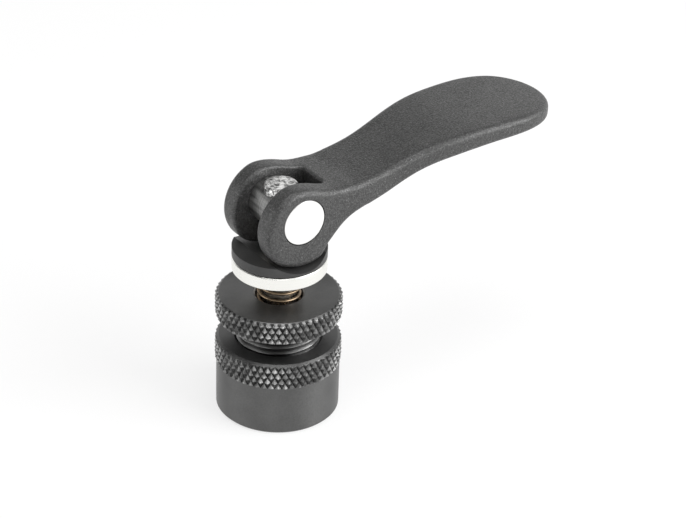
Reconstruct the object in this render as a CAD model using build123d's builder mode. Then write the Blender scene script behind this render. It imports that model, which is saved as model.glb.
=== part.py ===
from build123d import *
import os
from math import cos, degrees, radians, sin, sqrt, tan

os.makedirs("parts", exist_ok=True)

# A height-adjustable clamping unit with a cam lever. All sizes are millimetres.
# The stud runs along Z, the cross pin along Y and the handle along +X.
# The origin is the centre of the sleeve's bottom face, which the unit stands on.

# ---------------------------------------------------------------- Driving sizes

# Sleeve: the lower, hollow body with its knurled band
skirt_diameter = 28.9
skirt_height = 12.35
knurl_diameter = 29.7
sleeve_knurl_width = 5.6
knurl_count = 55                # diamonds round a knurled band
knurl_slope = 30.0              # lean of its grooves from the axis, in degrees
knurl_depth = 0.6               # from a diamond's point to its groove
knurl_foot_bevel = 0.3          # small bevel that ends a knurled band
rim_bevel_width = 1.0           # broad turned bevel above a knurled band, across the radius
rim_bevel_height = 0.7
sleeve_floor_bevel = 0.5
foot_recess_diameter = 23.0     # pocket in the sleeve's bottom, round the stud's end
foot_recess_depth = 4.6
sleeve_bore_bevel = 0.45

# Screw between sleeve and collar, and the collar itself
neck_diameter = 19.9            # outside of the M20 x 1.5 neck
thread_clearance = 0.05
neck_length = 18.0
neck_end_bevel = 0.8
collar_lift = 5.9               # how far the collar stands unscrewed from the sleeve
collar_knurl_width = 4.2
collar_foot_bevel = 0.4
spring_pocket_diameter = 11.3
spring_pocket_depth = 14.0
spring_pocket_bevel = 0.4

# Compression spring
spring_outer_diameter = 10.4
spring_wire_diameter = 0.7
spring_pitch = 1.9

# Washer and pressure plate
disc_diameter = 22.0
washer_gap = 6.6                # free height between collar and washer
washer_thickness = 3.2
washer_edge_bevel = 0.2
plate_rim_thickness = 2.6
plate_edge_bevel = 0.35
cradle_radius = 13.0            # hollow in the plate that the cam turns in
cradle_depth = 1.9

# Stud and cross pin
stud_diameter = 8.0
stud_end_height = 1.5           # the stud's lower end above the sleeve's bottom face
stud_end_bevel = 1.0
stud_head_rise = 0.25           # peened head above the cross pin
stud_head_round = 0.7
stud_clearance = 0.25           # all round, in the collar, washer and plate
pin_diameter = 11.1
pin_end_bevel = 0.25
pin_clearance = 0.04
pin_hole_clearance = 0.02

# Cam lever: a casting with a forked, eccentric end and an S-shaped handle
ear_span = 19.0                 # over both ears
fork_gap = 9.2
fork_depth = 8.6                # from the pin's axis to the bottom of the fork
fork_corner_radius = 1.2
cam_radius = 10.1
cam_offset_x = 0.4              # centre of the cam's circle from the pin's axis
cam_offset_z = -1.85
cam_relief = 0.3                # the working flank is flatter than the circle by this much
cam_flank_start = -148.0        # degrees about the circle's centre
cam_flank_end = -66.0           # the underside leaves the circle here
cam_crest_angle = 112.0         # the top of the ears leaves the circle here
cam_seat_gap = 0.2              # between the cam and its cradle
handle_tip_x = 74.3
handle_tip_radius = 12.3
handle_tip_angle = 68.0         # how far round the tip's arc reaches on each side
handle_half_widths = [(24.0, 9.6), (33.0, 10.5), (42.0, 12.1), (52.0, 12.85)]
ear_top = [(0.0, 7.85), (4.0, 6.95), (8.0, 5.75), (13.0, 5.3)]
ear_underside = [(14.0, -2.4), (11.1, -4.1), (8.6, -6.5), (7.0, -8.3)]
root_x = 18.0                   # where the ears end and the handle begins
root_top_height = 5.6
root_top_slope = (1, 0.13)
root_underside_height = -1.2
root_underside_slope = (-1, -0.25)
handle_top = [(22.0, 6.22), (32.0, 8.77), (42.0, 10.7), (54.0, 11.2), (66.0, 10.75)]
handle_underside = [(66.0, 6.37), (54.0, 6.55), (43.0, 5.87), (33.0, 3.87), (23.0, 0.2)]
handle_end_top = 9.72           # where the top and the underside would run to, past the tip
handle_end_underside = 5.95
handle_end_slope = (1, -0.12)
handle_edge_radius = 1.6
fork_edge_radius = 0.8

# ---------------------------------------------------------------- Sizes that follow

sleeve_height = skirt_height + sleeve_knurl_width + rim_bevel_height
neck_radius = neck_diameter / 2
sleeve_bore_radius = neck_radius + thread_clearance
collar_base = sleeve_height + collar_lift
collar_top = collar_base + collar_foot_bevel + collar_knurl_width + rim_bevel_height
spring_seat = collar_top - spring_pocket_depth
washer_base = collar_top + washer_gap
plate_base = washer_base + washer_thickness
plate_top = plate_base + plate_rim_thickness
cradle_floor = plate_top - cradle_depth
disc_radius = disc_diameter / 2
stud_radius = stud_diameter / 2
stud_hole_radius = stud_radius + stud_clearance
pin_radius = pin_diameter / 2
knurl_radius = knurl_diameter / 2
skirt_radius = skirt_diameter / 2

# The cam's circle rests in the wider cradle a little beside its lowest line.
cam_rest_height = cradle_radius - sqrt((cradle_radius - cam_radius) ** 2 - cam_offset_x**2)
pin_height = cradle_floor + cam_rest_height - cam_offset_z + cam_seat_gap


def turned(profile):
    """Closed outline from (radius, height) points, for a body turned about Z."""
    with BuildSketch(Plane.XZ) as section:
        with BuildLine():
            Polyline(*profile, close=True)
        make_face()
    return section.sketch


# ---------------------------------------------------------------- Diamond knurl

knurl_height = max(sleeve_knurl_width, collar_knurl_width + collar_foot_bevel) + rim_bevel_height
knurl_root_radius = knurl_radius - knurl_depth
half_diamond = 180 / knurl_count
with BuildSketch() as star:
    with BuildLine():
        Polyline(
            *[
                Vector(radius, 0).rotate(Axis.Z, half_diamond * step)
                for diamond in range(knurl_count)
                for radius, step in (
                    (knurl_radius, 2 * diamond),
                    (knurl_root_radius, 2 * diamond + 1),
                )
            ],
            close=True,
        )
    make_face()

# Ridges that wind to the right, cut by grooves that wind to the left at the same slope.
knurl_twist = degrees(knurl_height * tan(radians(knurl_slope)) / knurl_radius)
right_ridges, left_ridges = [
    Solid.extrude_linear_with_rotation(star.face(), (0, 0, 0), (0, 0, knurl_height), twist)
    for twist in (knurl_twist, -knurl_twist)
]
with BuildPart() as diamond_core:
    add(right_ridges)
    add(left_ridges, mode=Mode.INTERSECT)

# ---------------------------------------------------------------- Sleeve

with BuildPart() as sleeve:
    # Band: turned, then knurled right across.
    add(
        turned(
            [
                (sleeve_bore_radius, skirt_height),
                (knurl_radius - knurl_foot_bevel, skirt_height),
                (knurl_radius, skirt_height + knurl_foot_bevel),
                (knurl_radius, skirt_height + sleeve_knurl_width),
                (knurl_radius - rim_bevel_width, sleeve_height),
                (sleeve_bore_radius + sleeve_bore_bevel, sleeve_height),
                (sleeve_bore_radius, sleeve_height - sleeve_bore_bevel),
            ]
        )
    )
    revolve(axis=Axis.Z)
    with Locations((0, 0, skirt_height)):
        add(diamond_core.part, mode=Mode.INTERSECT)

    # Skirt below it, with the pocket in its foot.
    add(
        turned(
            [
                (foot_recess_diameter / 2, 0),
                (skirt_radius - sleeve_floor_bevel, 0),
                (skirt_radius, sleeve_floor_bevel),
                (skirt_radius, skirt_height),
                (sleeve_bore_radius, skirt_height),
                (sleeve_bore_radius, foot_recess_depth),
                (foot_recess_diameter / 2, foot_recess_depth),
            ]
        )
    )
    revolve(axis=Axis.Z)
sleeve.part.label = "sleeve"

# ---------------------------------------------------------------- Collar

neck_end = collar_base - neck_length
with BuildPart() as collar:
    # Head: turned, then knurled right across.
    add(
        turned(
            [
                (spring_pocket_diameter / 2, collar_base),
                (knurl_radius - collar_foot_bevel, collar_base),
                (knurl_radius, collar_base + collar_foot_bevel),
                (knurl_radius, collar_base + collar_foot_bevel + collar_knurl_width),
                (knurl_radius - rim_bevel_width, collar_top),
                (spring_pocket_diameter / 2 + spring_pocket_bevel, collar_top),
                (spring_pocket_diameter / 2, collar_top - spring_pocket_bevel),
            ]
        )
    )
    revolve(axis=Axis.Z)
    with Locations((0, 0, collar_base)):
        add(diamond_core.part, mode=Mode.INTERSECT)

    # Neck that screws into the sleeve, with the spring's seat inside it.
    add(
        turned(
            [
                (stud_hole_radius, neck_end),
                (neck_radius - neck_end_bevel, neck_end),
                (neck_radius, neck_end + neck_end_bevel),
                (neck_radius, collar_base),
                (spring_pocket_diameter / 2, collar_base),
                (spring_pocket_diameter / 2, spring_seat),
                (stud_hole_radius, spring_seat),
            ]
        )
    )
    revolve(axis=Axis.Z)
collar.part.label = "collar"

# ---------------------------------------------------------------- Spring

spring_radius = (spring_outer_diameter - spring_wire_diameter) / 2
spring_length = washer_base - spring_seat
with BuildPart() as spring:
    with BuildLine() as coil:
        Helix(
            pitch=spring_pitch,
            height=spring_length,
            radius=spring_radius,
            center=(0, 0, spring_seat),
        )
    with BuildSketch(Plane(origin=coil.line @ 0, z_dir=coil.line % 0)):
        Circle(spring_wire_diameter / 2)
    sweep(path=coil.line, is_frenet=True)
    # The end coils are ground flat.
    with Locations((0, 0, spring_seat)):
        Cylinder(
            radius=spring_outer_diameter,
            height=spring_length,
            align=(Align.CENTER, Align.CENTER, Align.MIN),
            mode=Mode.INTERSECT,
        )
spring.part.label = "spring"

# ---------------------------------------------------------------- Washer

with BuildPart() as washer:
    add(
        turned(
            [
                (stud_hole_radius, washer_base),
                (disc_radius - washer_edge_bevel, washer_base),
                (disc_radius, washer_base + washer_edge_bevel),
                (disc_radius, plate_base - washer_edge_bevel),
                (disc_radius - washer_edge_bevel, plate_base),
                (stud_hole_radius, plate_base),
            ]
        )
    )
    revolve(axis=Axis.Z)
washer.part.label = "washer"

# ---------------------------------------------------------------- Pressure plate

with BuildPart() as pressure_plate:
    add(
        turned(
            [
                (stud_hole_radius, plate_base),
                (disc_radius - plate_edge_bevel, plate_base),
                (disc_radius, plate_base + plate_edge_bevel),
                (disc_radius, plate_top),
                (stud_hole_radius, plate_top),
            ]
        )
    )
    revolve(axis=Axis.Z)
    # The cam turns in a round-bottomed hollow that runs across the plate.
    with BuildSketch(Plane.XZ):
        with Locations((0, cradle_floor + cradle_radius)):
            Circle(cradle_radius)
    extrude(amount=disc_radius, both=True, mode=Mode.SUBTRACT)
pressure_plate.part.label = "pressure_plate"

# ---------------------------------------------------------------- Stud

stud_top = pin_height + pin_radius + stud_head_rise
with BuildPart() as stud:
    with Locations((0, 0, stud_end_height)):
        Cylinder(
            radius=stud_radius,
            height=stud_top - stud_end_height,
            align=(Align.CENTER, Align.CENTER, Align.MIN),
        )
    chamfer(stud.edges().group_by(Axis.Z)[0], length=stud_end_bevel)
    fillet(stud.edges().group_by(Axis.Z)[-1], radius=stud_head_round)
stud.part.label = "stud"

# ---------------------------------------------------------------- Cross pin

pin_axis_plane = Plane(origin=(0, 0, pin_height), x_dir=(1, 0, 0), z_dir=(0, -1, 0))
with BuildPart() as cross_pin:
    with BuildSketch(pin_axis_plane):
        Circle(pin_radius)
    extrude(amount=ear_span / 2, both=True)
    chamfer(cross_pin.faces().filter_by(Axis.Y).edges(), length=pin_end_bevel)
    with BuildSketch(Plane.XY.offset(pin_height)):
        Circle(stud_radius + pin_hole_clearance)
    extrude(amount=pin_diameter, both=True, mode=Mode.SUBTRACT)
cross_pin.part.label = "cross_pin"

# ---------------------------------------------------------------- Cam lever


def on_cam(angle, inset=0.0):
    """Point of the cam's circle, at an angle in degrees about the circle's own centre."""
    reach = cam_radius - inset
    return (
        cam_offset_x + reach * cos(radians(angle)),
        cam_offset_z + reach * sin(radians(angle)),
    )


def clockwise(angle):
    """Direction of a circle's outline at that angle, running clockwise."""
    return (sin(radians(angle)), -cos(radians(angle)))


def on_tip(angle):
    """Point of the arc that rounds the handle's tip, in plan."""
    return (
        handle_tip_x - handle_tip_radius + handle_tip_radius * cos(radians(angle)),
        handle_tip_radius * sin(radians(angle)),
    )


flank_middle = (cam_flank_start + cam_flank_end) / 2
root_top = (root_x, root_top_height)
root_underside = (root_x, root_underside_height)
end_top = (handle_tip_x + handle_edge_radius, handle_end_top)       # just past the tip
end_underside = (handle_tip_x + handle_edge_radius, handle_end_underside)

with BuildPart() as lever:
    # Handle: S-shaped from the side.
    with BuildSketch(pin_axis_plane.offset(-ear_span)):
        with BuildLine():
            Spline(root_top, *handle_top, end_top, tangents=[root_top_slope, handle_end_slope])
            Line(end_top, end_underside)
            Spline(
                end_underside,
                *handle_underside,
                root_underside,
                tangents=[(-1, 0), root_underside_slope],
            )
            Line(root_underside, root_top)
        make_face()
    extrude(amount=2 * ear_span, clean=False)

    # Plan outline of the handle: it swells to the grip and is round at the tip.
    with BuildSketch(Plane.XY):
        with BuildLine():
            Line((0, ear_span / 2), handle_half_widths[0])
            Spline(
                *handle_half_widths,
                on_tip(handle_tip_angle),
                tangents=[(1, 0), clockwise(handle_tip_angle)],
            )
            mirror(about=Plane.XZ)
            ThreePointArc(on_tip(handle_tip_angle), on_tip(0), on_tip(-handle_tip_angle))
            Line((0, -ear_span / 2), (0, ear_span / 2))
        make_face()
    extrude(amount=2 * pin_height, mode=Mode.INTERSECT, clean=False)
    handle_rims = lever.edges().filter_by(Axis.Y, reverse=True).filter_by(Axis.Z, reverse=True)
    fillet(handle_rims, radius=handle_edge_radius)

    # Ears: an eccentric cam, with the heel that runs back into the handle.
    with BuildSketch(pin_axis_plane.offset(-ear_span / 2)):
        with BuildLine():
            Spline(
                on_cam(cam_crest_angle),
                *ear_top,
                root_top,
                tangents=[clockwise(cam_crest_angle), root_top_slope],
            )
            Line(root_top, root_underside)
            Spline(
                root_underside,
                *ear_underside,
                on_cam(cam_flank_end),
                tangents=[root_underside_slope, clockwise(cam_flank_end)],
            )
            Spline(
                on_cam(cam_flank_end),
                on_cam(flank_middle, inset=cam_relief),
                on_cam(cam_flank_start),
                tangents=[clockwise(cam_flank_end), clockwise(cam_flank_start)],
            )
            ThreePointArc(
                on_cam(cam_flank_start),
                on_cam((cam_flank_start + 360 + cam_crest_angle) / 2),
                on_cam(cam_crest_angle),
            )
        make_face()
    ears = extrude(amount=ear_span, clean=False, mode=Mode.PRIVATE)
    ear_rims = ears.faces().filter_by(Axis.Y).edges().filter_by(Axis.Z, reverse=True)
    add(ears.fillet(handle_edge_radius, ear_rims))

    # Fork for the stud, open at the cam's end, above and below.
    with BuildSketch(Plane.XY):
        with Locations(((fork_depth - ear_span) / 2, 0)):
            RectangleRounded(fork_depth + ear_span, fork_gap, fork_corner_radius)
    extrude(amount=2 * pin_height, mode=Mode.SUBTRACT)
    fork_rims = lever.edges(Select.LAST).filter_by(Axis.Z, reverse=True)
    fillet(fork_rims, radius=fork_edge_radius)

    # Bore for the cross pin through both ears.
    with BuildSketch(pin_axis_plane):
        Circle(pin_radius + pin_clearance)
    extrude(amount=ear_span, both=True, mode=Mode.SUBTRACT)
lever.part.label = "lever"

for piece in (sleeve, collar, spring, washer, pressure_plate, stud, cross_pin, lever):
    export_step(piece.part, f"parts/{piece.part.label}.step")
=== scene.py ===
"""Finishes a packed cam lever clamping unit: turned bodies, coil, surfaces, stage and camera."""

import math

import bmesh
import bpy
from mathutils import Matrix, Vector


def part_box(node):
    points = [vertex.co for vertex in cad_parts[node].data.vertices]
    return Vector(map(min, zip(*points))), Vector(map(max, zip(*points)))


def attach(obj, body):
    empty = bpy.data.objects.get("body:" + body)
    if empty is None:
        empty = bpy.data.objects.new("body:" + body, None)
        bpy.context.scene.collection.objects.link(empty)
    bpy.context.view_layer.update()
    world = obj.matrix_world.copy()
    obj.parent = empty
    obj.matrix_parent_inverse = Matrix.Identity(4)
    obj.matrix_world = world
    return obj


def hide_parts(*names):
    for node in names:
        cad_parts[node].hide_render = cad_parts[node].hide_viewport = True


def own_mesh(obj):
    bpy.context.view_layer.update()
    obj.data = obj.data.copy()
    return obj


bl_info = {
    "name": "Cam lever finishes",
    "version": (1, 0, 0),
    "blender": (4, 5, 0),
    "location": "View3D > Sidebar > Cam lever",
    "description": "Knurls, thread, coil, surface finishes and stage for a cam lever unit",
    "category": "Object",
}

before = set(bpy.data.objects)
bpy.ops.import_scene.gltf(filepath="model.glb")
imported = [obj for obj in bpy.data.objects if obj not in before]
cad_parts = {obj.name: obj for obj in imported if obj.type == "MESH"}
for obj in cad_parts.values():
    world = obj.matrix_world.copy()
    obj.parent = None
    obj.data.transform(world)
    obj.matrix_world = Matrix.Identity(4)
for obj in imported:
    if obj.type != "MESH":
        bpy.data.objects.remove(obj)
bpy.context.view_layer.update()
SLEEVE_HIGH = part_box("sleeve")[1]
COLLAR_LOW, COLLAR_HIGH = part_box("collar")
SPRING_LOW, SPRING_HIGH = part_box("spring")
PIN_LOW, PIN_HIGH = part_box("cross_pin")
PLATE_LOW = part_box("pressure_plate")[0]
ROOT_END = 0.018  # where the lever's root meets its handle
FULL_TURN = 2 * math.pi

# Mesh building
SAME_POINT = 0.000001  # vertices closer than this are one
LEDGE_REACH = 0.00002  # vertices this near to ROOT_END belong to the ledge there
LEDGE_HEIGHT = 0.0001  # more than the ledge is high
TURNED_CREASE = math.radians(25)  # edges sharper than this stay sharp on turned bodies
CAST_CREASE = math.radians(35)  # and on the lever
NECK_SEGMENTS = 240
WIRE_SIDES = 16
FLOOR_SIDES = 64

# Stage
FLOOR_GAP = 0.00002  # the floor lies just clear of the sleeve's flat foot
GLOW_SHARE = 0.7  # how much of the floor's colour glows for the camera and in reflections
LAMPS = (  # name, place, size in metres, watts
    ("ceiling_light", (-0.1, -0.12, 1.0), 0.7, 5.2),
    ("left_light", (-0.85, 0.25, 0.3), 0.6, 2.0),
    ("right_light", (0.52, -0.68, 0.45), 0.8, 9.5),
)
LAMP_TARGET = (0.02, 0, 0.035)
DARK_SIDE = (-0.78, 0.0, 0.62)  # direction in which the room is dark

# Finishes
PIN_FACE_DEPTH = 0.0004  # how far in from its ends the pin still shows its bright face
MILLIMETRES = 1000.0  # in a metre


# ---------------------------------------------------------------- Settings


def length(name, description, default):
    """A length setting, shown in the scene's units."""
    return bpy.props.FloatProperty(
        name=name, description=description, default=default, precision=5, unit="LENGTH"
    )


def colour(name, description, default):
    """A colour setting, in linear light."""
    return bpy.props.FloatVectorProperty(
        name=name, description=description, default=default, size=3, subtype="COLOR", min=0, max=1
    )


class TurnedSettings(bpy.types.PropertyGroup):
    """Sizes of the two knurled, turned bodies"""

    skirt_radius: length("Skirt radius", "Outside of the sleeve under its knurl", 0.01445)
    skirt_height: length("Skirt height", "Height of the sleeve's plain part", 0.01235)
    floor_bevel: length("Floor bevel", "Bevel at the sleeve's bottom edge", 0.0005)
    foot_radius: length("Foot recess radius", "Pocket in the sleeve's bottom", 0.0115)
    foot_depth: length("Foot recess depth", "How deep that pocket is", 0.0046)
    bore_radius: length("Bore radius", "Threaded bore of the sleeve", 0.01)
    bore_bevel: length("Bore bevel", "Bevel at the mouth of that bore", 0.00045)
    rim_width: length("Rim bevel width", "Broad bevel above a knurl, across", 0.001)
    rim_height: length("Rim bevel height", "Broad bevel above a knurl, up", 0.0007)
    band_foot: length("Sleeve knurl foot", "Bevel below the sleeve's knurl", 0.0003)
    head_foot: length("Collar knurl foot", "Bevel below the collar's knurl", 0.0004)
    pocket_radius: length("Pocket radius", "Spring pocket of the collar", 0.00565)
    pocket_bevel: length("Pocket bevel", "Bevel at the pocket's mouth", 0.0004)
    stud_hole_radius: length("Stud hole radius", "Hole for the stud", 0.00425)
    neck_bevel: length("Neck bevel", "Bevel at the neck's end", 0.0008)
    neck_radius: length("Neck radius", "Outside of the collar's screw thread", 0.00995)
    head_base: length("Head base", "Height of the collar head's underside", 0.02455)
    knurl_count: bpy.props.IntProperty(
        name="Knurl count", description="Grooves round the band, each way", default=55, min=8
    )
    knurl_steps: bpy.props.IntProperty(
        name="Knurl steps", description="Mesh steps across one diamond", default=12, min=4
    )
    knurl_slope: bpy.props.FloatProperty(
        name="Knurl slope", description="Lean of its grooves from the axis",
        default=math.radians(30), subtype="ANGLE",
    )
    knurl_depth: length("Knurl depth", "From a diamond's tip to its groove", 0.0006)
    thread_pitch: length("Thread pitch", "Pitch of the screw thread", 0.0015)
    thread_depth: length("Thread depth", "From crest to root", 0.0008)
    thread_steps: bpy.props.IntProperty(
        name="Thread steps", description="Mesh steps along one pitch", default=10, min=4
    )


class SpringSettings(bpy.types.PropertyGroup):
    """Sizes of the compression spring"""

    wire_radius: length("Wire radius", "Half the wire's thickness", 0.00035)
    pitch: length("Pitch", "Rise of one coil", 0.0019)
    turn_steps: bpy.props.IntProperty(
        name="Steps a turn", description="Mesh steps along one coil", default=64, min=12
    )
    travel: length("Travel", "How far the spring is pressed together", 0.006)


class FinishSettings(bpy.types.PropertyGroup):
    """Colours of the finishes"""

    black_steel: colour(
        "Black steel", "Blackened steel of sleeve and collar", (0.122, 0.122, 0.121)
    )
    powder: colour("Powder coat", "Fine black coat of the lever", (0.031, 0.031, 0.0305))
    plastic: colour("Plastic", "Moulded pressure plate", (0.036, 0.036, 0.0355))
    bright: colour("Bright steel", "Washer, stud and cross pin", (0.92, 0.917, 0.905))
    wire: colour("Spring wire", "Bronze-tinted spring steel", (0.36, 0.27, 0.18))
    floor: colour("Floor", "Floor under the unit", (0.94, 0.94, 0.94))


class StageSettings(bpy.types.PropertyGroup):
    """Camera and lights"""

    azimuth: bpy.props.FloatProperty(
        name="Azimuth", description="Camera's bearing round the unit",
        default=math.radians(-36.859), subtype="ANGLE",
    )
    elevation: bpy.props.FloatProperty(
        name="Elevation", description="Camera's height angle", default=math.radians(30.642),
        subtype="ANGLE",
    )
    roll: bpy.props.FloatProperty(
        name="Roll", description="Turn of the camera about its own line of sight",
        default=math.radians(1.917), subtype="ANGLE",
    )
    distance: length("Distance", "From the camera to its target", 0.54192)
    target: bpy.props.FloatVectorProperty(
        name="Target", description="Point that the camera looks at",
        default=(0.02171, 0.00483, 0.02904), size=3, subtype="TRANSLATION",
    )
    lens: bpy.props.FloatProperty(
        name="Lens", description="Focal length in millimetres on a 36 mm sensor", default=120.07
    )
    floor_radius: length("Floor radius", "Size of the floor", 3.0)


# ---------------------------------------------------------------- Node building


class Graph:
    """Adds and links the nodes of one tree."""

    def __init__(self, tree):
        self.tree = tree

    def add(self, kind, props=None, **inputs):
        """A node with some properties and inputs set; an input may be a value or a socket."""
        node = self.tree.nodes.new(kind)
        for key, value in (props or {}).items():
            setattr(node, key, value)
        for key, value in inputs.items():
            self.plug(node.inputs[key.replace("_", " ")], value)
        return node

    def plug(self, socket, value):
        """Links a socket to an input, or sets the input's own value."""
        if isinstance(value, bpy.types.NodeSocket):
            self.tree.links.new(value, socket)
        else:
            socket.default_value = value

    def math(self, operation, *values):
        """One arithmetic step."""
        node = self.tree.nodes.new("ShaderNodeMath")
        node.operation = operation
        for socket, value in zip(node.inputs, values):
            self.plug(socket, value)
        return node.outputs[0]

    def ramp(self, factor, *stops, ease="LINEAR"):
        """A colour ramp of (position, grey or colour) stops."""
        node = self.tree.nodes.new("ShaderNodeValToRGB")
        self.plug(node.inputs[0], factor)
        band = node.color_ramp
        band.interpolation = ease
        while len(band.elements) < len(stops):
            band.elements.new(0.5)
        for element, (position, value) in zip(band.elements, stops):
            element.position = position
            rgb = (value,) * 3 if isinstance(value, float) else tuple(value)
            element.color = (*rgb, 1)
        return node.outputs[0]

    def blend(self, factor, first, second, kind="MIX"):
        """Mixes two colours."""
        node = self.tree.nodes.new("ShaderNodeMix")
        node.data_type = "RGBA"
        node.blend_type = kind
        for index, value in ((0, factor), (6, first), (7, second)):
            if index and not isinstance(value, bpy.types.NodeSocket):
                value = (*value, 1) if len(value) == 3 else value
            self.plug(node.inputs[index], value)
        return node.outputs[2]


def new_material(name):
    """An empty material with a Principled shader on its output."""
    material = bpy.data.materials.new(name)
    material.use_nodes = True
    material.node_tree.nodes.clear()
    graph = Graph(material.node_tree)
    output = graph.add("ShaderNodeOutputMaterial")
    shader = graph.add("ShaderNodeBsdfPrincipled")
    graph.plug(output.inputs["Surface"], shader.outputs[0])
    place = graph.add("ShaderNodeTexCoord").outputs["Object"]
    return material, graph, shader, place


def noise(graph, place, scale, detail=2.0, roughness=0.5):
    """Noise of a given grain, in cells a metre."""
    node = graph.add(
        "ShaderNodeTexNoise", Vector=place, Scale=scale, Detail=detail, Roughness=roughness
    )
    return node.outputs[0]


def stretched(graph, place, scale):
    """Object coordinates scaled apart along X, Y and Z."""
    return graph.add("ShaderNodeMapping", Vector=place, Scale=scale).outputs[0]


def bump(graph, shader, *layers):
    """Stacks (height, distance in metres, strength) layers of relief on a shader."""
    normal = None
    for height, distance, strength in layers:
        node = graph.add("ShaderNodeBump", Height=height, Distance=distance, Strength=strength)
        if normal is not None:
            graph.plug(node.inputs["Normal"], normal)
        normal = node.outputs[0]
    graph.plug(shader.inputs["Normal"], normal)


def radius_of(graph, place):
    """Distance from the unit's axis."""
    axes = graph.add("ShaderNodeSeparateXYZ", Vector=place)
    flat = graph.add("ShaderNodeCombineXYZ", X=axes.outputs[0], Y=axes.outputs[1])
    return graph.add(
        "ShaderNodeVectorMath", {"operation": "LENGTH"}, Vector=flat.outputs[0]
    ).outputs["Value"]


def black_steel():
    """Blackened, satin turned steel. Its knurl and thread carry painted light: painted shade in
    their grooves, crests painted lighter (part wear, part painted highlight), and the upper faces
    of the knurl's diamonds painted lighter than the lower ones.
    """
    base = bpy.context.scene.cam_finish.black_steel
    material, graph, shader, place = new_material("blackened_steel")
    cloud = noise(graph, place, 160.0, 3.0)
    grain = noise(graph, place, 2600.0, 3.0, 0.6)
    mottle = graph.math(
        "ADD", graph.math("MULTIPLY", cloud, 0.5), graph.math("MULTIPLY", grain, 0.5)
    )
    dark = tuple(c * 0.82 for c in base)
    light = tuple(c * 1.2 for c in base)
    plain = graph.ramp(mottle, (0.32, dark), (0.68, light))
    shade = plain
    # relief gives painted shade in the grooves and lighter crests, part wear and part painted
    # highlight. lift gives painted light: the upper diamond faces and the thread crests are
    # lighter, the lower faces darker. luck gives each diamond a random tone.
    for name, stops in (
        ("relief", ((0.0, 0.75), (0.45, 0.5), (0.75, 0.48), (0.97, 0.26))),
        ("lift", ((0.4, 0.22), (0.5, 0.5), (0.57, 0.75))),
        ("luck", ((0.0, 0.25), (0.5, 0.5), (1.0, 0.95))),
    ):
        part = graph.add("ShaderNodeAttribute", {"attribute_name": name}).outputs["Fac"]
        tone = graph.ramp(graph.math("ADD", part, 0.5), *stops)
        shade = graph.blend(1.0, graph.blend(1.0, shade, tone, "MULTIPLY"), (2, 2, 2), "MULTIPLY")
    centimetres = graph.math("MULTIPLY", radius_of(graph, place), 100.0)
    inside = graph.ramp(centimetres, (0.55, 1.0), (0.6, 0.0))  # within the spring pocket
    shade = graph.blend(inside, shade, (0.6, 0.58, 0.55))
    graph.plug(shader.inputs["Base Color"], shade)
    graph.plug(shader.inputs["Roughness"], graph.ramp(grain, (0.3, 0.36), (0.7, 0.48)))
    shader.inputs["Metallic"].default_value = 1.0
    shader.inputs["Anisotropic"].default_value = 0.7
    shader.inputs["Anisotropic Rotation"].default_value = 0.25
    around = graph.add("ShaderNodeTangent", {"direction_type": "RADIAL", "axis": "Z"})
    graph.plug(shader.inputs["Tangent"], around.outputs[0])
    ring = noise(
        graph, graph.add("ShaderNodeCombineXYZ", X=radius_of(graph, place)).outputs[0], 4200.0, 2.0
    )
    bump(graph, shader, (ring, 0.00002, 0.25), (grain, 0.00003, 0.35))
    return material


def powder_coat():
    """Black powder coat with a fine, sparkling orange-peel grain, and pale specks added to its
    colour as painted glints.
    """
    base = bpy.context.scene.cam_finish.powder
    material, graph, shader, place = new_material("powder_coat")
    grain = noise(graph, place, 2500.0, 2.0)
    speck = noise(graph, place, 3800.0, 1.0)
    cloud = noise(graph, place, 90.0, 2.0)
    mix = graph.math(
        "ADD", graph.math("MULTIPLY", grain, 0.85), graph.math("MULTIPLY", cloud, 0.15)
    )
    dark = tuple(c * 0.55 for c in base)
    light = tuple(c * 1.6 for c in base)
    coat = graph.ramp(mix, (0.4, dark), (0.5, base), (0.6, light))
    # Painted highlight: pale specks added to the base colour stand in for glints on the coat.
    painted_glint = graph.ramp(speck, (0.64, 0.0), (0.74, 0.12))
    graph.plug(shader.inputs["Base Color"], graph.blend(1.0, coat, painted_glint, "ADD"))
    graph.plug(shader.inputs["Roughness"], graph.ramp(grain, (0.38, 0.52), (0.62, 0.36)))
    shader.inputs["Specular IOR Level"].default_value = 0.6
    bump(graph, shader, (grain, 0.00012, 0.7), (speck, 0.00008, 0.5))
    return material


def moulded_plastic():
    """Black moulded plastic with a faint matt grain, and painted shade along its bottom edge, in
    the joint with the washer under it.
    """
    base = bpy.context.scene.cam_finish.plastic
    material, graph, shader, place = new_material("moulded_plastic")
    grain = noise(graph, place, 2200.0, 3.0)
    cloud = noise(graph, place, 120.0, 2.0)
    dark = tuple(c * 0.8 for c in base)
    light = tuple(c * 1.25 for c in base)
    plain = graph.ramp(cloud, (0.3, dark), (0.7, light))
    # Painted shade: the colour darkens over the lowest 0.4 millimetre of the plate, in the joint
    # with the washer under it.
    height = graph.add("ShaderNodeSeparateXYZ", Vector=place).outputs[2]
    above = graph.math("MULTIPLY", graph.math("SUBTRACT", height, PLATE_LOW.z), MILLIMETRES)
    painted_joint_shade = graph.ramp(above, (0.15, 0.1), (0.4, 1.0))
    graph.plug(shader.inputs["Base Color"], graph.blend(1.0, plain, painted_joint_shade, "MULTIPLY"))
    graph.plug(shader.inputs["Roughness"], graph.ramp(grain, (0.3, 0.42), (0.7, 0.55)))
    bump(graph, shader, (grain, 0.00003, 0.4))
    return material


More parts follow.
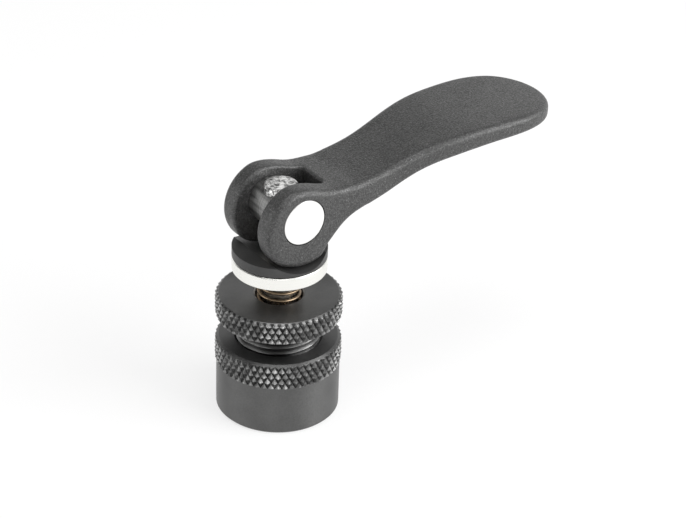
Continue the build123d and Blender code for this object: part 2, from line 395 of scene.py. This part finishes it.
def turned_bright():
    """Bright turned steel, its fine tool marks running round the axis."""
    base = bpy.context.scene.cam_finish.bright
    material, graph, shader, place = new_material("bright_turned_steel")
    axes = graph.add("ShaderNodeSeparateXYZ", Vector=place)
    line = graph.add(
        "ShaderNodeCombineXYZ", X=radius_of(graph, place), Y=axes.outputs[2]
    ).outputs[0]
    mark = noise(graph, line, 9000.0, 3.0, 0.6)
    cloud = noise(graph, place, 300.0, 3.0)
    warm = (base[0], base[1], base[2] * 0.97)
    dim = tuple(c * 0.88 for c in warm)
    graph.plug(shader.inputs["Base Color"], graph.ramp(mark, (0.3, dim), (0.6, warm)))
    graph.plug(shader.inputs["Roughness"], graph.ramp(cloud, (0.3, 0.24), (0.7, 0.36)))
    shader.inputs["Metallic"].default_value = 1.0
    bump(graph, shader, (mark, 0.00001, 0.3))
    return material


def pin_steel():
    """Bright cross pin, turned along Y, with fine rings on its end faces; its barrel is painted
    much darker than its end faces as painted shade, and a ring of painted shade runs round the edge
    of each end face.
    """
    base = bpy.context.scene.cam_finish.bright
    material, graph, shader, place = new_material("pin_steel")
    middle = (PIN_LOW + PIN_HIGH) / 2
    centred = graph.add(
        "ShaderNodeMapping", Vector=place, Location=(-middle.x, -middle.y, -middle.z)
    ).outputs[0]
    axes = graph.add("ShaderNodeSeparateXYZ", Vector=centred)
    flat = graph.add("ShaderNodeCombineXYZ", X=axes.outputs[0], Z=axes.outputs[2]).outputs[0]
    reach = graph.add("ShaderNodeVectorMath", {"operation": "LENGTH"}, Vector=flat).outputs["Value"]
    line = graph.add("ShaderNodeCombineXYZ", X=reach, Y=axes.outputs[1]).outputs[0]
    mark = noise(graph, line, 7000.0, 3.0, 0.6)
    streak = noise(graph, stretched(graph, centred, (900.0, 90.0, 900.0)), 1.0, 3.0)
    tone = graph.math("MULTIPLY", mark, streak)
    # Painted shade: the barrel's colour is kept far darker than the bright end faces, over its
    # streaks and tool marks.
    dim = tuple(c * 0.14 for c in base)
    barrel_marks_and_shade = graph.ramp(tone, (0.14, dim), (0.34, tuple(c * 0.5 for c in base)))
    # Painted shade: a dark ring round the edge of each end face, where the pin meets the bore of
    # the lever.
    radius = (PIN_HIGH.x - PIN_LOW.x) / 2
    rim = graph.ramp(
        graph.math("DIVIDE", reach, radius), (0.955, base), (0.975, (0.12, 0.12, 0.12))
    )
    depth = graph.math("ABSOLUTE", axes.outputs[1])
    face = (PIN_HIGH.y - PIN_LOW.y) / 2 - PIN_FACE_DEPTH
    on_face = graph.math("GREATER_THAN", depth, face)
    graph.plug(shader.inputs["Base Color"], graph.blend(on_face, barrel_marks_and_shade, rim))
    graph.plug(shader.inputs["Roughness"], graph.ramp(streak, (0.3, 0.3), (0.7, 0.42)))
    shader.inputs["Metallic"].default_value = 1.0
    bump(graph, shader, (mark, 0.00001, 0.1))
    return material


def peened_steel():
    """Stud steel: hammered, blotched bright head, and below the cross pin a shaft painted darker as
    painted shade.
    """
    base = bpy.context.scene.cam_finish.bright
    material, graph, shader, place = new_material("peened_steel")
    blot = noise(graph, place, 900.0, 3.0, 0.6)
    dent = graph.add("ShaderNodeTexVoronoi", Vector=place, Scale=900.0).outputs["Distance"]
    dark = tuple(c * 0.1 for c in base)
    head = graph.ramp(blot, (0.4, dark), (0.5, tuple(c * 0.75 for c in base)), (0.56, base))
    # Painted shade: below the cross pin's underside the stud is painted dark, where it stands in
    # shade under the washer and plate.
    height = graph.add("ShaderNodeSeparateXYZ", Vector=place).outputs[2]
    on_head = graph.math("GREATER_THAN", height, PIN_LOW.z)
    shaded_shaft = graph.ramp(blot, (0.35, (0.25, 0.24, 0.22)), (0.65, (0.6, 0.57, 0.52)))
    graph.plug(shader.inputs["Base Color"], graph.blend(on_head, shaded_shaft, head))
    graph.plug(shader.inputs["Roughness"], graph.ramp(blot, (0.4, 0.5), (0.6, 0.24)))
    shader.inputs["Metallic"].default_value = 1.0
    bump(graph, shader, (dent, 0.00015, 0.5), (blot, 0.0001, 0.5))
    return material


def spring_wire():
    """Oil-tempered spring wire with a brown cast and drawing lines."""
    base = bpy.context.scene.cam_finish.wire
    material, graph, shader, place = new_material("spring_wire")
    cloud = noise(graph, place, 700.0, 3.0)
    dim = tuple(c * 0.55 for c in base)
    graph.plug(shader.inputs["Base Color"], graph.ramp(cloud, (0.3, dim), (0.7, base)))
    graph.plug(shader.inputs["Roughness"], graph.ramp(cloud, (0.3, 0.26), (0.7, 0.4)))
    shader.inputs["Metallic"].default_value = 1.0
    bump(graph, shader, (noise(graph, place, 4000.0), 0.00001, 0.3))
    return material


# ---------------------------------------------------------------- Mesh building


def turned_object(name, profile, segments, low=None, rise=None, steps=None):
    """A closed body turned about Z from (radius, height, steps to the next point) points.

    Rows of faces that stand a whole number of diamond steps above low are split along the
    grooves that a knurl of that rise will have, so that each groove falls on an edge.
    """
    rings = []
    for (r0, z0, parts), (r1, z1, _) in zip(profile, profile[1:] + profile[:1]):
        for k in range(parts):
            share = k / parts
            rings.append((r0 + (r1 - r0) * share, z0 + (z1 - z0) * share))
    angles = [FULL_TURN * k / segments for k in range(segments)]
    points = [(r * math.cos(a), r * math.sin(a), z) for r, z in rings for a in angles]
    faces = []
    for i, (_, z) in enumerate(rings):
        lower, upper = i * segments, (i + 1) % len(rings) * segments
        row = (z - low) / rise * steps if steps else 0.5
        split = abs(row - round(row)) < 0.001 and rings[(i + 1) % len(rings)][1] > z
        for k in range(segments):
            n = (k + 1) % segments
            corners = (lower + k, lower + n, upper + n, upper + k)
            if not split:
                faces.append(corners)
            elif (k + round(row) + 1) % steps == steps // 2:
                faces += [corners[:2] + corners[3:], corners[1:]]
            else:
                faces += [corners[:3], corners[:1] + corners[2:]]
    mesh = bpy.data.meshes.new(name)
    mesh.from_pydata(points, [], faces)
    return shown(name, mesh)


def shown(name, mesh):
    """A new object in the scene."""
    thing = bpy.data.objects.new(name, mesh)
    bpy.context.scene.collection.objects.link(thing)
    return thing


def geometry_tree(name, sockets):
    """A geometry tree with a Geometry input, then the named inputs, and a Geometry output."""
    tree = bpy.data.node_groups.new(name, "GeometryNodeTree")
    tree.interface.new_socket("Geometry", in_out="INPUT", socket_type="NodeSocketGeometry")
    tree.interface.new_socket("Geometry", in_out="OUTPUT", socket_type="NodeSocketGeometry")
    for label, kind, default in sockets:
        socket = tree.interface.new_socket(label, in_out="INPUT", socket_type=kind)
        if default is not None:
            socket.default_value = default
    graph = Graph(tree)
    return tree, graph, graph.add("NodeGroupInput").outputs, graph.add("NodeGroupOutput")


def close_tree(graph, output, geometry, material):
    """Ends a geometry tree with Realize Instances and Set Material."""
    solid = graph.add("GeometryNodeRealizeInstances", Geometry=geometry).outputs[0]
    painted = graph.add("GeometryNodeSetMaterial", Geometry=solid, Material=material).outputs[0]
    graph.plug(output.inputs[0], painted)


def apply_tree(thing, tree, values):
    """Runs a geometry tree on an object and keeps the result as its plain mesh."""
    modifier = thing.modifiers.new(tree.name, "NODES")
    modifier.node_group = tree
    names = {s.name: s.identifier for s in tree.interface.items_tree if s.in_out == "INPUT"}
    for label, value in values.items():
        modifier[names[label]] = value
    graph = bpy.context.evaluated_depsgraph_get()
    graph.update()
    mesh = bpy.data.meshes.new_from_object(thing.evaluated_get(graph))
    thing.modifiers.clear()
    old = thing.data
    thing.data = mesh
    mesh.name = thing.name
    mesh.shade_smooth()
    mesh.set_sharp_from_angle(angle=TURNED_CREASE)
    bpy.data.meshes.remove(old)
    return thing


def polar_parts(graph):
    """Angle in turns, radius, angle in radians and height of each point."""
    here = graph.add("GeometryNodeInputPosition").outputs[0]
    x, y, z = graph.add("ShaderNodeSeparateXYZ", Vector=here).outputs
    angle = graph.math("ARCTAN2", y, x)
    square = graph.math("ADD", graph.math("MULTIPLY", x, x), graph.math("MULTIPLY", y, y))
    radius = graph.math("SQRT", square)
    return graph.math("DIVIDE", angle, FULL_TURN), radius, angle, z


def set_radius(graph, geometry, angle, radius, height, selection):
    """Moves the selected points to a new radius."""
    x = graph.math("MULTIPLY", graph.math("COSINE", angle), radius)
    y = graph.math("MULTIPLY", graph.math("SINE", angle), radius)
    place = graph.add("ShaderNodeCombineXYZ", X=x, Y=y, Z=height).outputs[0]
    return graph.add(
        "GeometryNodeSetPosition", Geometry=geometry, Selection=selection, Position=place
    ).outputs[0]


def marked(graph, geometry, name, value):
    """Keeps a number of each point for the finish."""
    return graph.add(
        "GeometryNodeStoreNamedAttribute", {"data_type": "FLOAT", "domain": "POINT"},
        Geometry=geometry, Name=name, Value=value,
    ).outputs[0]


def knurl_tree():
    """Cuts a diamond knurl into the outside of a turned body."""
    number = "NodeSocketFloat"
    tree, graph, given, output = geometry_tree(
        "diamond_knurl",
        [
            ("Crest radius", number, 0.015),
            ("Depth", number, 0.0005),
            ("Count", number, 55.0),
            ("Rise", number, 0.003),
            ("Low", number, 0.0),
            ("High", number, 0.01),
            ("Foot radius", number, 0.014),
            ("Material", "NodeSocketMaterial", None),
        ],
    )
    turn, radius, angle, height = polar_parts(graph)
    round_it = graph.math("MULTIPLY", turn, given["Count"])
    up = graph.math("DIVIDE", graph.math("SUBTRACT", height, given["Low"]), given["Rise"])
    walls, parts, cells = [], [], []
    from_tip = graph.math("ADD", round_it, 0.5)
    for operation in ("ADD", "SUBTRACT"):
        place = graph.math(operation, from_tip, up)
        cells.append(graph.math("FLOOR", place))
        parts.append(graph.math("FRACT", place))
        walls.append(graph.math("ABSOLUTE", graph.math("SUBTRACT", parts[-1], 0.5)))
    fall = graph.math("MULTIPLY", graph.math("MAXIMUM", *walls), 2.0)
    lift = graph.math("SUBTRACT", *parts)
    side = graph.math("SIGN", graph.math("ADD", lift, 0.01))
    cell = graph.add("ShaderNodeCombineXYZ", X=cells[0], Y=cells[1], Z=side).outputs[0]
    luck = graph.add("ShaderNodeTexWhiteNoise", Vector=cell).outputs["Value"]
    bruise = graph.add("ShaderNodeTexNoise", Scale=1700.0, Detail=1.0).outputs[0]
    luck = graph.math("ADD", graph.math("MULTIPLY", luck, 0.6), graph.math("MULTIPLY", bruise, 2.0))
    luck = graph.math("SUBTRACT", luck, 0.8)
    depth = graph.math("MULTIPLY", fall, given["Depth"])
    cut = graph.math("SUBTRACT", given["Crest radius"], depth)
    new = graph.math("MINIMUM", radius, cut)
    at_foot = graph.math("LESS_THAN", up, 0.05)
    floor = graph.math("MULTIPLY", at_foot, given["Foot radius"])
    new = graph.math("MAXIMUM", new, floor)
    in_band = graph.math(
        "MULTIPLY",
        graph.math("GREATER_THAN", up, -0.01),
        graph.math("LESS_THAN", height, given["High"]),
    )
    outside = graph.math("GREATER_THAN", radius, graph.math("ADD", given["Foot radius"], 0.00001))
    chosen = graph.math("MULTIPLY", in_band, outside)
    # relief runs from -0.5 at a diamond's tip to 0.5 in its grooves. lift is positive on the upper
    # half of each diamond and negative on the lower half. The finish turns them into painted shade
    # in the grooves, lighter crests (part wear, part painted highlight), and upper halves painted
    # lighter than lower ones as painted light.
    relief = graph.math("MULTIPLY", chosen, graph.math("SUBTRACT", fall, 0.5))
    geometry = marked(graph, given["Geometry"], "relief", relief)
    geometry = marked(graph, geometry, "lift", graph.math("MULTIPLY", chosen, lift))
    luck = graph.math("MULTIPLY", chosen, graph.math("SUBTRACT", luck, 0.5))
    geometry = marked(graph, geometry, "luck", luck)
    geometry = set_radius(graph, geometry, angle, new, height, chosen)
    close_tree(graph, output, geometry, given["Material"])
    return tree


def thread_tree():
    """Cuts a right-handed, round-crested screw thread into the outside of a turned body."""
    number = "NodeSocketFloat"
    tree, graph, given, output = geometry_tree(
        "screw_thread",
        [
            ("Crest radius", number, 0.01),
            ("Depth", number, 0.0008),
            ("Pitch", number, 0.0015),
            ("Low", number, 0.0),
            ("High", number, 0.01),
            ("Material", "NodeSocketMaterial", None),
        ],
    )
    turn, radius, angle, height = polar_parts(graph)
    place = graph.math("SUBTRACT", graph.math("DIVIDE", height, given["Pitch"]), turn)
    wave = graph.math("COSINE", graph.math("MULTIPLY", place, FULL_TURN))
    root = graph.math("SUBTRACT", 0.5, graph.math("MULTIPLY", wave, 0.5))
    sharp = graph.math("POWER", root, 0.8)
    depth = graph.math("MULTIPLY", sharp, given["Depth"])
    cut = graph.math("SUBTRACT", given["Crest radius"], depth)
    new = graph.math("MINIMUM", radius, cut)
    chosen = graph.math(
        "MULTIPLY",
        graph.math(
            "MULTIPLY",
            graph.math("GREATER_THAN", height, given["Low"]),
            graph.math("LESS_THAN", height, given["High"]),
        ),
        graph.math("GREATER_THAN", radius, graph.math("SUBTRACT", given["Crest radius"], 0.0015)),
    )
    # relief runs from -0.5 on the crest to 0.5 at the root, and lift is highest on the crest. The
    # finish turns them into painted shade in the roots and a painted highlight along the crests.
    relief = graph.math("MULTIPLY", chosen, graph.math("SUBTRACT", sharp, 0.5))
    geometry = marked(graph, given["Geometry"], "relief", relief)
    lift = graph.math("MULTIPLY", chosen, graph.math("MULTIPLY", wave, 0.3))
    geometry = marked(graph, geometry, "lift", lift)
    geometry = set_radius(graph, geometry, angle, new, height, chosen)
    close_tree(graph, output, geometry, given["Material"])
    return tree


def coil_tree():
    """Winds a wire into a coil spring."""
    number = "NodeSocketFloat"
    tree, graph, given, output = geometry_tree(
        "coil_spring",
        [
            ("Coil radius", number, 0.005),
            ("Wire radius", number, 0.0004),
            ("Turns", number, 10.0),
            ("Steps a turn", "NodeSocketInt", 64),
            ("Length", number, 0.02),
            ("Base", number, 0.0),
            ("Material", "NodeSocketMaterial", None),
        ],
    )
    spiral = graph.add(
        "GeometryNodeCurveSpiral",
        Resolution=given["Steps a turn"],
        Rotations=given["Turns"],
        Start_Radius=given["Coil radius"],
        End_Radius=given["Coil radius"],
        Height=given["Length"],
    ).outputs[0]
    section = graph.add(
        "GeometryNodeCurvePrimitiveCircle", Resolution=WIRE_SIDES, Radius=given["Wire radius"]
    ).outputs[0]
    wire = graph.tree.nodes.new("GeometryNodeCurveToMesh")
    graph.plug(wire.inputs["Curve"], spiral)
    graph.plug(wire.inputs["Profile Curve"], section)
    graph.plug(wire.inputs["Fill Caps"], True)
    lift = graph.add("ShaderNodeCombineXYZ", Z=given["Base"]).outputs[0]
    moved = graph.add(
        "GeometryNodeTransform", Geometry=wire.outputs[0], Translation=lift
    ).outputs[0]
    smooth = graph.add("GeometryNodeSetShadeSmooth", Geometry=moved).outputs[0]
    close_tree(graph, output, smooth, given["Material"])
    return tree


def diamond_rise(sizes, crest):
    """Height of one diamond of a knurl."""
    return FULL_TURN * crest / sizes.knurl_count / math.tan(sizes.knurl_slope)


def band_profile(sizes, crest, base, foot, top):
    """Profile points up a knurled band, from the bevel at its foot to the broad one above it."""
    step = diamond_rise(sizes, crest) / sizes.knurl_steps
    band_top = top - sizes.rim_height
    first, last = math.ceil(foot / step + 0.3), math.floor((band_top - base) / step - 0.3)
    return [
        (crest - foot, base, 2),
        (crest, base + foot, 1),
        *[(crest, base + k * step, 1) for k in range(first, last + 1)],
        (crest, band_top, 8),
        (crest - sizes.rim_width, top, 6),
    ]


def knurl_values(sizes, crest, low, high, foot, paint):
    """Inputs of the knurl's tree for one band."""
    return {
        "Crest radius": crest,
        "Depth": sizes.knurl_depth,
        "Count": float(sizes.knurl_count),
        "Rise": diamond_rise(sizes, crest),
        "Low": low,
        "High": high,
        "Foot radius": foot,
        "Material": paint,
    }


# ---------------------------------------------------------------- Operators


class CAMLEVER_OT_sleeve(bpy.types.Operator):
    """Build the sleeve with its knurled band"""

    bl_idname = "camlever.sleeve"
    bl_label = "Knurled sleeve"

    def execute(self, context):
        s = context.scene.cam_turned
        top, crest = SLEEVE_HIGH.z, SLEEVE_HIGH.x
        rise = diamond_rise(s, crest)
        profile = [
            (s.foot_radius, 0, 4),
            (s.skirt_radius - s.floor_bevel, 0, 1),
            (s.skirt_radius, s.floor_bevel, 6),
            (s.skirt_radius, s.skirt_height, 1),
            *band_profile(s, crest, s.skirt_height, s.band_foot, top),
            (s.bore_radius + s.bore_bevel, top, 1),
            (s.bore_radius, top - s.bore_bevel, 4),
            (s.bore_radius, s.foot_depth, 2),
            (s.foot_radius, s.foot_depth, 2),
        ]
        piece = turned_object(
            "sleeve_turned", profile, s.knurl_count * s.knurl_steps,
            low=s.skirt_height, rise=rise, steps=s.knurl_steps,
        )
        values = knurl_values(s, crest, s.skirt_height, top, s.skirt_radius, black_steel())
        apply_tree(piece, knurl_tree(), values)
        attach(piece, "sleeve")
        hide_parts("sleeve")
        return {"FINISHED"}


class CAMLEVER_OT_collar(bpy.types.Operator):
    """Build the collar's knurled head and its threaded neck"""

    bl_idname = "camlever.collar"
    bl_label = "Screw collar"

    def execute(self, context):
        s = context.scene.cam_turned
        top, crest, base = COLLAR_HIGH.z, COLLAR_HIGH.x, s.head_base
        rise = diamond_rise(s, crest)
        paint = black_steel()
        profile = [
            (s.pocket_radius, base, 4),
            (crest - 2 * s.head_foot, base, 1),
            *band_profile(s, crest, base, s.head_foot, top),
            (s.pocket_radius + s.pocket_bevel, top, 1),
            (s.pocket_radius, top - s.pocket_bevel, 3),
        ]
        head = turned_object(
            "collar_head", profile, s.knurl_count * s.knurl_steps,
            low=base, rise=rise, steps=s.knurl_steps,
        )
        values = knurl_values(s, crest, base, top, crest - 2 * s.head_foot, paint)
        apply_tree(head, knurl_tree(), values)
        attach(head, "collar")
        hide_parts("collar")

        low = COLLAR_LOW.z
        steps = round((base - low - s.neck_bevel) / s.thread_pitch * s.thread_steps)
        profile = [
            (s.stud_hole_radius, low, 2),
            (s.neck_radius - s.neck_bevel, low, 2),
            (s.neck_radius, low + s.neck_bevel, steps),
            (s.neck_radius, base, 3),
            (s.pocket_radius, base, 3),
            (s.pocket_radius, SPRING_LOW.z, 1),
            (s.stud_hole_radius, SPRING_LOW.z, 3),
        ]
        neck = turned_object("collar_neck", profile, NECK_SEGMENTS)
        values = {
            "Crest radius": s.neck_radius,
            "Depth": s.thread_depth,
            "Pitch": s.thread_pitch,
            "Low": low - s.neck_bevel,
            "High": base - s.thread_pitch / 2,
            "Material": paint,
        }
        apply_tree(neck, thread_tree(), values)
        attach(neck, "collar")
        return {"FINISHED"}


class CAMLEVER_OT_spring(bpy.types.Operator):
    """Wind the compression spring"""

    bl_idname = "camlever.spring"
    bl_label = "Coil spring"

    def execute(self, context):
        s = context.scene.cam_spring
        tall = SPRING_HIGH.z - SPRING_LOW.z - 2 * s.wire_radius
        piece = shown("spring_coil", bpy.data.meshes.new("spring_coil"))
        values = {
            "Coil radius": SPRING_HIGH.x - s.wire_radius,
            "Wire radius": s.wire_radius,
            "Turns": tall / s.pitch,
            "Steps a turn": s.turn_steps,
            "Length": tall,
            "Base": SPRING_LOW.z + s.wire_radius,
            "Material": spring_wire(),
        }
        apply_tree(piece, coil_tree(), values)
        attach(piece, "spring")
        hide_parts("spring")
        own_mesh(piece)
        return {"FINISHED"}


def paint_node(name, material):
    """Gives a CAD node its material."""
    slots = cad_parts[name].data.materials
    slots.clear()
    slots.append(material)


class CAMLEVER_OT_discs(bpy.types.Operator):
    """Finish the washer and the pressure plate"""

    bl_idname = "camlever.discs"
    bl_label = "Washer and pressure plate"

    def execute(self, context):
        paint_node("washer", turned_bright())
        paint_node("pressure_plate", moulded_plastic())
        return {"FINISHED"}


class CAMLEVER_OT_stud(bpy.types.Operator):
    """Finish the stud and the cross pin"""

    bl_idname = "camlever.stud"
    bl_label = "Stud and cross pin"

    def execute(self, context):
        paint_node("stud", peened_steel())
        paint_node("cross_pin", pin_steel())
        return {"FINISHED"}


class CAMLEVER_OT_lever(bpy.types.Operator):
    """Finish the cam lever"""

    bl_idname = "camlever.lever"
    bl_label = "Cam lever"

    def execute(self, context):
        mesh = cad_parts["lever"].data.copy()
        mesh.name = "lever_coated"
        shape = bmesh.new()
        shape.from_mesh(mesh)
        bmesh.ops.remove_doubles(shape, verts=shape.verts, dist=SAME_POINT)
        # A low ledge runs round the end of the root; its two edges become one.
        root = [v for v in shape.verts if abs(v.co.x - ROOT_END) < LEDGE_REACH]
        bmesh.ops.remove_doubles(shape, verts=root, dist=LEDGE_HEIGHT)
        shape.to_mesh(mesh)
        shape.free()
        mesh.attributes.remove(mesh.attributes["custom_normal"])
        mesh.shade_smooth()
        mesh.set_sharp_from_angle(angle=CAST_CREASE)
        mesh.materials.clear()
        mesh.materials.append(powder_coat())
        piece = shown("lever_coated", mesh)
        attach(piece, "lever")
        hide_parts("lever")
        return {"FINISHED"}


def soft_box(name, place, aim, size, energy):
    """A square lamp that faces a point."""
    lamp = bpy.data.lights.new(name, "AREA")
    lamp.size = size
    lamp.energy = energy
    thing = bpy.data.objects.new(name, lamp)
    bpy.context.scene.collection.objects.link(thing)
    thing.location = place
    thing.rotation_mode = "QUATERNION"
    thing.rotation_quaternion = (Vector(aim) - Vector(place)).to_track_quat("-Z", "Y")


class CAMLEVER_OT_stage(bpy.types.Operator):
    """Set up the floor, the light and the camera"""

    bl_idname = "camlever.stage"
    bl_label = "Stage"

    def execute(self, context):
        s = context.scene.cam_stage
        floor_colour = context.scene.cam_finish.floor
        material = bpy.data.materials.new("pale_floor")
        material.use_nodes = True
        material.node_tree.nodes.clear()
        graph = Graph(material.node_tree)
        diffuse = graph.add("ShaderNodeBsdfDiffuse", Color=(*floor_colour, 1)).outputs[0]
        glow = graph.add("ShaderNodeEmission", Color=(1, 1, 1, 1), Strength=1.0).outputs[0]
        rays = graph.add("ShaderNodeLightPath").outputs
        clear = graph.math("MAXIMUM", rays["Is Glossy Ray"], rays["Is Transmission Ray"])
        seen = graph.math("MAXIMUM", rays["Is Camera Ray"], clear)
        share = graph.math("MULTIPLY", seen, GLOW_SHARE)
        mixed = graph.tree.nodes.new("ShaderNodeMixShader")
        graph.plug(mixed.inputs[0], share)
        graph.plug(mixed.inputs[1], diffuse)
        graph.plug(mixed.inputs[2], glow)
        graph.plug(graph.add("ShaderNodeOutputMaterial").inputs[0], mixed.outputs[0])
        r = s.floor_radius
        mesh = bpy.data.meshes.new("floor")
        angles = [FULL_TURN * k / FLOOR_SIDES for k in range(FLOOR_SIDES)]
        rim = [(r * math.cos(a), r * math.sin(a), -FLOOR_GAP) for a in angles]
        mesh.from_pydata(rim, [], [tuple(range(FLOOR_SIDES))])
        mesh.materials.append(material)
        floor = shown("floor", mesh)

        world = bpy.data.worlds.new("studio")
        context.scene.world = world
        world.use_nodes = True
        world.node_tree.nodes.clear()
        graph = Graph(world.node_tree)
        way = graph.add("ShaderNodeTexCoord").outputs["Generated"]
        facing = graph.add("ShaderNodeVectorMath", {"operation": "DOT_PRODUCT"}, Vector=way)
        facing.inputs[1].default_value = DARK_SIDE
        rise = graph.add("ShaderNodeSeparateXYZ", Vector=way).outputs[2]
        dark_side = graph.ramp(facing.outputs["Value"], (0.25, 1.0), (0.72, 0.08), ease="EASE")
        horizon = graph.ramp(rise, (0.2, 1.0), (0.42, 0.0), ease="EASE")
        tent = graph.ramp(rise, (0.46, 1.0), (0.66, 0.3), ease="EASE")
        room = graph.blend(1.0, tent, graph.blend(1.0, dark_side, horizon, "LIGHTEN"), "MULTIPLY")
        sky = graph.add("ShaderNodeBackground", Color=room, Strength=1.0)
        graph.plug(graph.add("ShaderNodeOutputWorld").inputs[0], sky.outputs[0])

        for name, place, size, energy in LAMPS:
            soft_box(name, place, LAMP_TARGET, size, energy)

        lens = bpy.data.cameras.new("camera")
        lens.sensor_width = 36
        lens.lens = s.lens
        lens.clip_start = 0.01
        lens.clip_end = 20
        camera = bpy.data.objects.new("camera", lens)
        context.scene.collection.objects.link(camera)
        back = Vector(
            (
                math.sin(s.azimuth) * math.cos(s.elevation),
                -math.cos(s.azimuth) * math.cos(s.elevation),
                math.sin(s.elevation),
            )
        )
        turn = (-back).to_track_quat("-Z", "Y").to_matrix().to_4x4()
        place = Matrix.Translation(Vector(s.target) + back * s.distance)
        camera.matrix_world = place @ turn @ Matrix.Rotation(s.roll, 4, "Z")
        context.scene.camera = camera
        context.scene.view_settings.view_transform = "Standard"
        return {"FINISHED"}


class CAMLEVER_PT_panel(bpy.types.Panel):
    """Lists the steps and their settings"""

    bl_label = "Cam lever"
    bl_idname = "CAMLEVER_PT_panel"
    bl_space_type = "VIEW_3D"
    bl_region_type = "UI"
    bl_category = "Cam lever"

    def draw(self, context):
        for step in STEPS:
            self.layout.operator(step.bl_idname)
        for name in SETTINGS:
            group = getattr(context.scene, name)
            for key in group.__annotations__:
                self.layout.prop(group, key)


STEPS = (
    CAMLEVER_OT_sleeve,
    CAMLEVER_OT_collar,
    CAMLEVER_OT_spring,
    CAMLEVER_OT_discs,
    CAMLEVER_OT_stud,
    CAMLEVER_OT_lever,
    CAMLEVER_OT_stage,
)
SETTINGS = {
    "cam_turned": TurnedSettings,
    "cam_spring": SpringSettings,
    "cam_finish": FinishSettings,
    "cam_stage": StageSettings,
}
CLASSES = (*SETTINGS.values(), *STEPS, CAMLEVER_PT_panel)


def register():
    """Adds the classes and the scene's settings."""
    for cls in CLASSES:
        bpy.utils.register_class(cls)
    for name, group in SETTINGS.items():
        setattr(bpy.types.Scene, name, bpy.props.PointerProperty(type=group))


def unregister():
    """Takes the settings and the classes away again."""
    for name in SETTINGS:
        delattr(bpy.types.Scene, name)
    for cls in reversed(CLASSES):
        bpy.utils.unregister_class(cls)


def main():
    """Builds every piece and the stage."""
    register()
    for step in STEPS:
        group, name = step.bl_idname.split(".")
        getattr(getattr(bpy.ops, group), name)()


if __name__ == "__main__":
    main()
